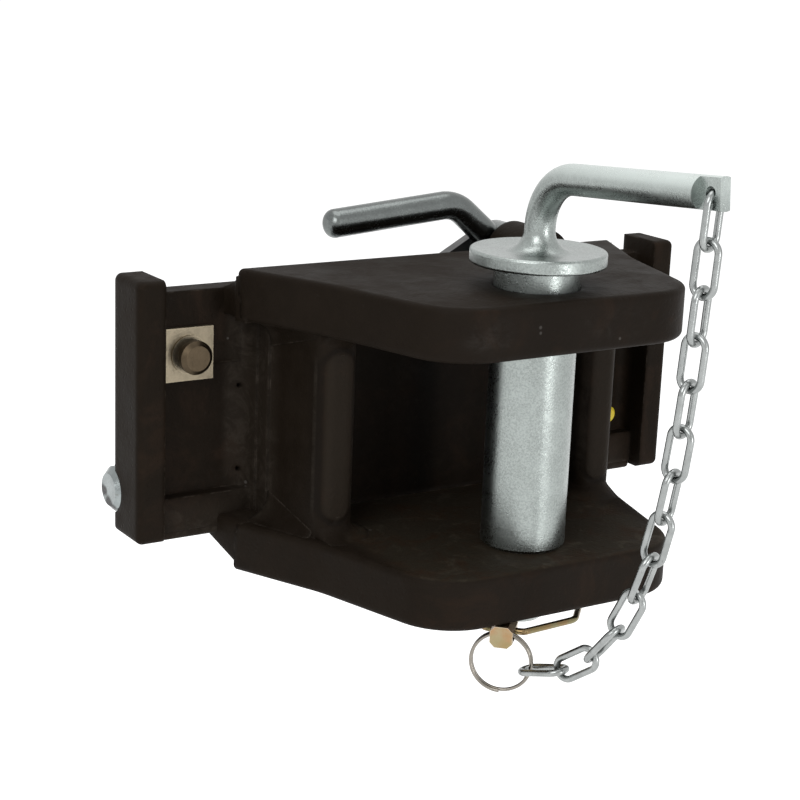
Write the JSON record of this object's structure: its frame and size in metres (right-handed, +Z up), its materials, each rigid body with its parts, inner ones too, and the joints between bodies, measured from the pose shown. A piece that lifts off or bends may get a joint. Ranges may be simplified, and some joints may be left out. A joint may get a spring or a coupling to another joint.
{
  "type": "tow hitch",
  "caption": "Height-adjustable clevis tow hitch: a jaw on a carriage with two guide bars, a drop-in tow pin with chained linch pin, and a lever that draws in two locking pins.",
  "frame": {"origin": "coupling point: tow pin axis at mid-height of the jaw mouth", "axes": "+X right seen from the implement, +Y towards the tractor, +Z up along the tow pin"},
  "size_m": [0.303, 0.2576, 0.2365],
  "materials": {
    "body_paint": "satin",
    "tow_zinc": "satin",
    "linch_gold": "satin",
    "bow_gold": "gloss",
    "bright_ring": "gloss",
    "bright_chain": "gloss",
    "lever_zinc": "gloss",
    "plain_steel": "satin",
    "spring_steel": "satin",
    "plate_steel": "matte",
    "dark_screw": "satin",
    "pin_steel": "satin",
    "strap_zinc": "satin",
    "bolt_nickel": "satin",
    "washer_nickel": "satin",
    "cap_yellow": "gloss"
  },
  "bodies": {
    "carriage": {"hitch_body": "body_paint", "lever_shaft": "plain_steel", "shaft_washers": "plain_steel", "shaft_circlip": "spring_steel", "guide_screws": "dark_screw", "right_pin_spring": "spring_steel", "left_pin_spring": "spring_steel", "keeper_strap": "strap_zinc", "strap_spacers": "strap_zinc", "guide_bolts": "bolt_nickel", "square_washers": "washer_nickel", "nut_washers": "strap_zinc", "guide_nuts": "strap_zinc", "grease_nipple": "plain_steel", "grease_nipple_cap": "cap_yellow"},
    "tow_pin": {"tow_pin": "tow_zinc", "linch_pin": "linch_gold", "split_ring": "bright_ring", "chain": "bright_chain"},
    "linch_bow": {"linch_pin_bow": "bow_gold"},
    "lever": {"release_lever": "lever_zinc", "crank_arm": "plain_steel", "crank_pin": "plain_steel"},
    "sliding_plate": {"release_plate": "plate_steel"},
    "right_pin": {"right_locking_pin": "pin_steel", "right_cross_pin": "plain_steel"},
    "left_pin": {"left_locking_pin": "pin_steel", "left_cross_pin": "plain_steel"}
  },
  "joints": [
    {"name": "tow_pin_turn", "type": "hinge", "parent": "carriage", "child": "tow_pin", "pos_m": [0, 0, 0], "axis": [0, 0, 1], "range_deg": [-50, 50]},
    {"name": "linch_bow_swing", "type": "hinge", "parent": "tow_pin", "child": "linch_bow", "pos_m": [-0.02616, -0.02616, -0.0757], "axis": [-0.7071, 0.7071, 0], "range_deg": [0, 80]},
    {"name": "release_lever_turn", "type": "hinge", "parent": "carriage", "child": "lever", "pos_m": [0.065, 0.1176, 0.0615], "axis": [0, 1, 0], "range_deg": [0, 22.8]},
    {"name": "sliding_plate_lift", "type": "slide", "parent": "carriage", "child": "sliding_plate", "axis": [0, 0, 1], "range_m": [0, 0.012]},
    {"name": "right_pin_retract", "type": "slide", "parent": "carriage", "child": "right_pin", "axis": [-1, 0, 0], "range_m": [0, 0.012], "deforming": ["right_pin_spring"]},
    {"name": "left_pin_retract", "type": "slide", "parent": "carriage", "child": "left_pin", "axis": [1, 0, 0], "range_m": [0, 0.012], "deforming": ["left_pin_spring"]}
  ],
  "couplings": [
    {"joint": "sliding_plate_lift", "follows": "release_lever_turn", "m_per_rad": 0.0295},
    {"joint": "right_pin_retract", "follows": "release_lever_turn", "m_per_rad": 0.0295},
    {"joint": "left_pin_retract", "follows": "release_lever_turn", "m_per_rad": 0.0295}
  ]
}
